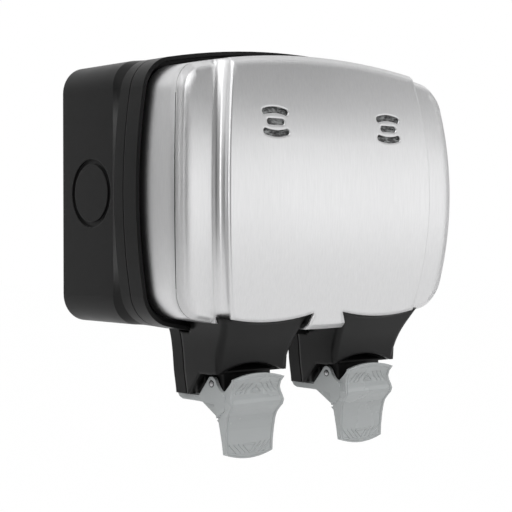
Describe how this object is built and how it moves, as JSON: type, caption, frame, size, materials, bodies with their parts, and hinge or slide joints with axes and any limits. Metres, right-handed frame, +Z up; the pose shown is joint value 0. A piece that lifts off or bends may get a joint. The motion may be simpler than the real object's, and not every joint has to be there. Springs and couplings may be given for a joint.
{
  "type": "outdoor weatherproof socket",
  "caption": "Wall-mounted twin switched socket in a box with a hinged brushed steel lid, held shut by two pivoting latches on cable shrouds.",
  "frame": {"origin": "centre of the mounting face of the back box, on the wall", "axes": "X to the right seen from the front, +Y into the wall, so the lid faces -Y, +Z up"},
  "size_m": [0.1808, 0.095, 0.1878],
  "materials": {
    "black_plastic": "fine matt moulded",
    "seal_rubber": "soft matt",
    "screw_steel": "zinc plated",
    "white_plastic": "satin moulded",
    "insert_plastic": "matt moulded",
    "neon_red": "clear red",
    "brass": "stamped",
    "brushed_cover": "vertical brushed grain",
    "pin_steel": "turned",
    "lens_clear": "moulded, textured",
    "latch_grey": "satin moulded"
  },
  "bodies": {
    "housing": {"back_box": "black_plastic", "box_seal": "seal_rubber", "front_frame": "black_plastic", "frame_screws": "screw_steel", "socket_plate": "white_plastic", "socket_base": "insert_plastic", "neon": "neon_red", "plate_screws": "screw_steel", "contacts_line": "brass", "contacts_neutral": "brass", "contacts_earth": "brass", "hinge_pin_left": "pin_steel", "hinge_pin_right": "pin_steel", "cable_seal_rear_left": "seal_rubber", "cable_seal_rear_right": "seal_rubber"},
    "lid": {"lid_shell": "black_plastic", "lid_cover": "brushed_cover", "lid_seal": "seal_rubber", "lens_left": "lens_clear", "lens_right": "lens_clear", "latch_pin_left": "pin_steel", "latch_pin_right": "pin_steel", "cable_seal_front_left": "seal_rubber", "cable_seal_front_right": "seal_rubber"},
    "latch_l": {"latch_left": "latch_grey"},
    "latch_r": {"latch_right": "latch_grey"},
    "rocker_l": {"rocker_left": "white_plastic"},
    "rocker_r": {"rocker_right": "white_plastic"},
    "shutter_l": {"shutter_left": "insert_plastic"},
    "shutter_r": {"shutter_right": "insert_plastic"}
  },
  "joints": [
    {"name": "lid_hinge", "type": "hinge", "parent": "housing", "child": "lid", "pos_m": [0, -0.072, 0.058], "axis": [-1, 0, 0], "range_deg": [0, 105]},
    {"name": "latch_left_pivot", "type": "hinge", "parent": "lid", "child": "latch_l", "pos_m": [-0.0359, -0.0675, -0.0865], "axis": [-1, 0, 0], "range_deg": [0, 16]},
    {"name": "latch_right_pivot", "type": "hinge", "parent": "lid", "child": "latch_r", "pos_m": [0.0359, -0.0675, -0.0865], "axis": [-1, 0, 0], "range_deg": [0, 16]},
    {"name": "rocker_left_pivot", "type": "hinge", "parent": "housing", "child": "rocker_l", "pos_m": [-0.022, -0.055, 0.0295], "axis": [-1, 0, 0], "range_deg": [0, 12]},
    {"name": "rocker_right_pivot", "type": "hinge", "parent": "housing", "child": "rocker_r", "pos_m": [0.022, -0.055, 0.0295], "axis": [-1, 0, 0], "range_deg": [0, 12]},
    {"name": "shutter_left_slide", "type": "slide", "parent": "housing", "child": "shutter_l", "axis": [0, 0, -1], "range_m": [0, 0.008], "stiffness_N_per_m": 40, "springref_m": -0.002},
    {"name": "shutter_right_slide", "type": "slide", "parent": "housing", "child": "shutter_r", "axis": [0, 0, -1], "range_m": [0, 0.008], "stiffness_N_per_m": 40, "springref_m": -0.002}
  ]
}
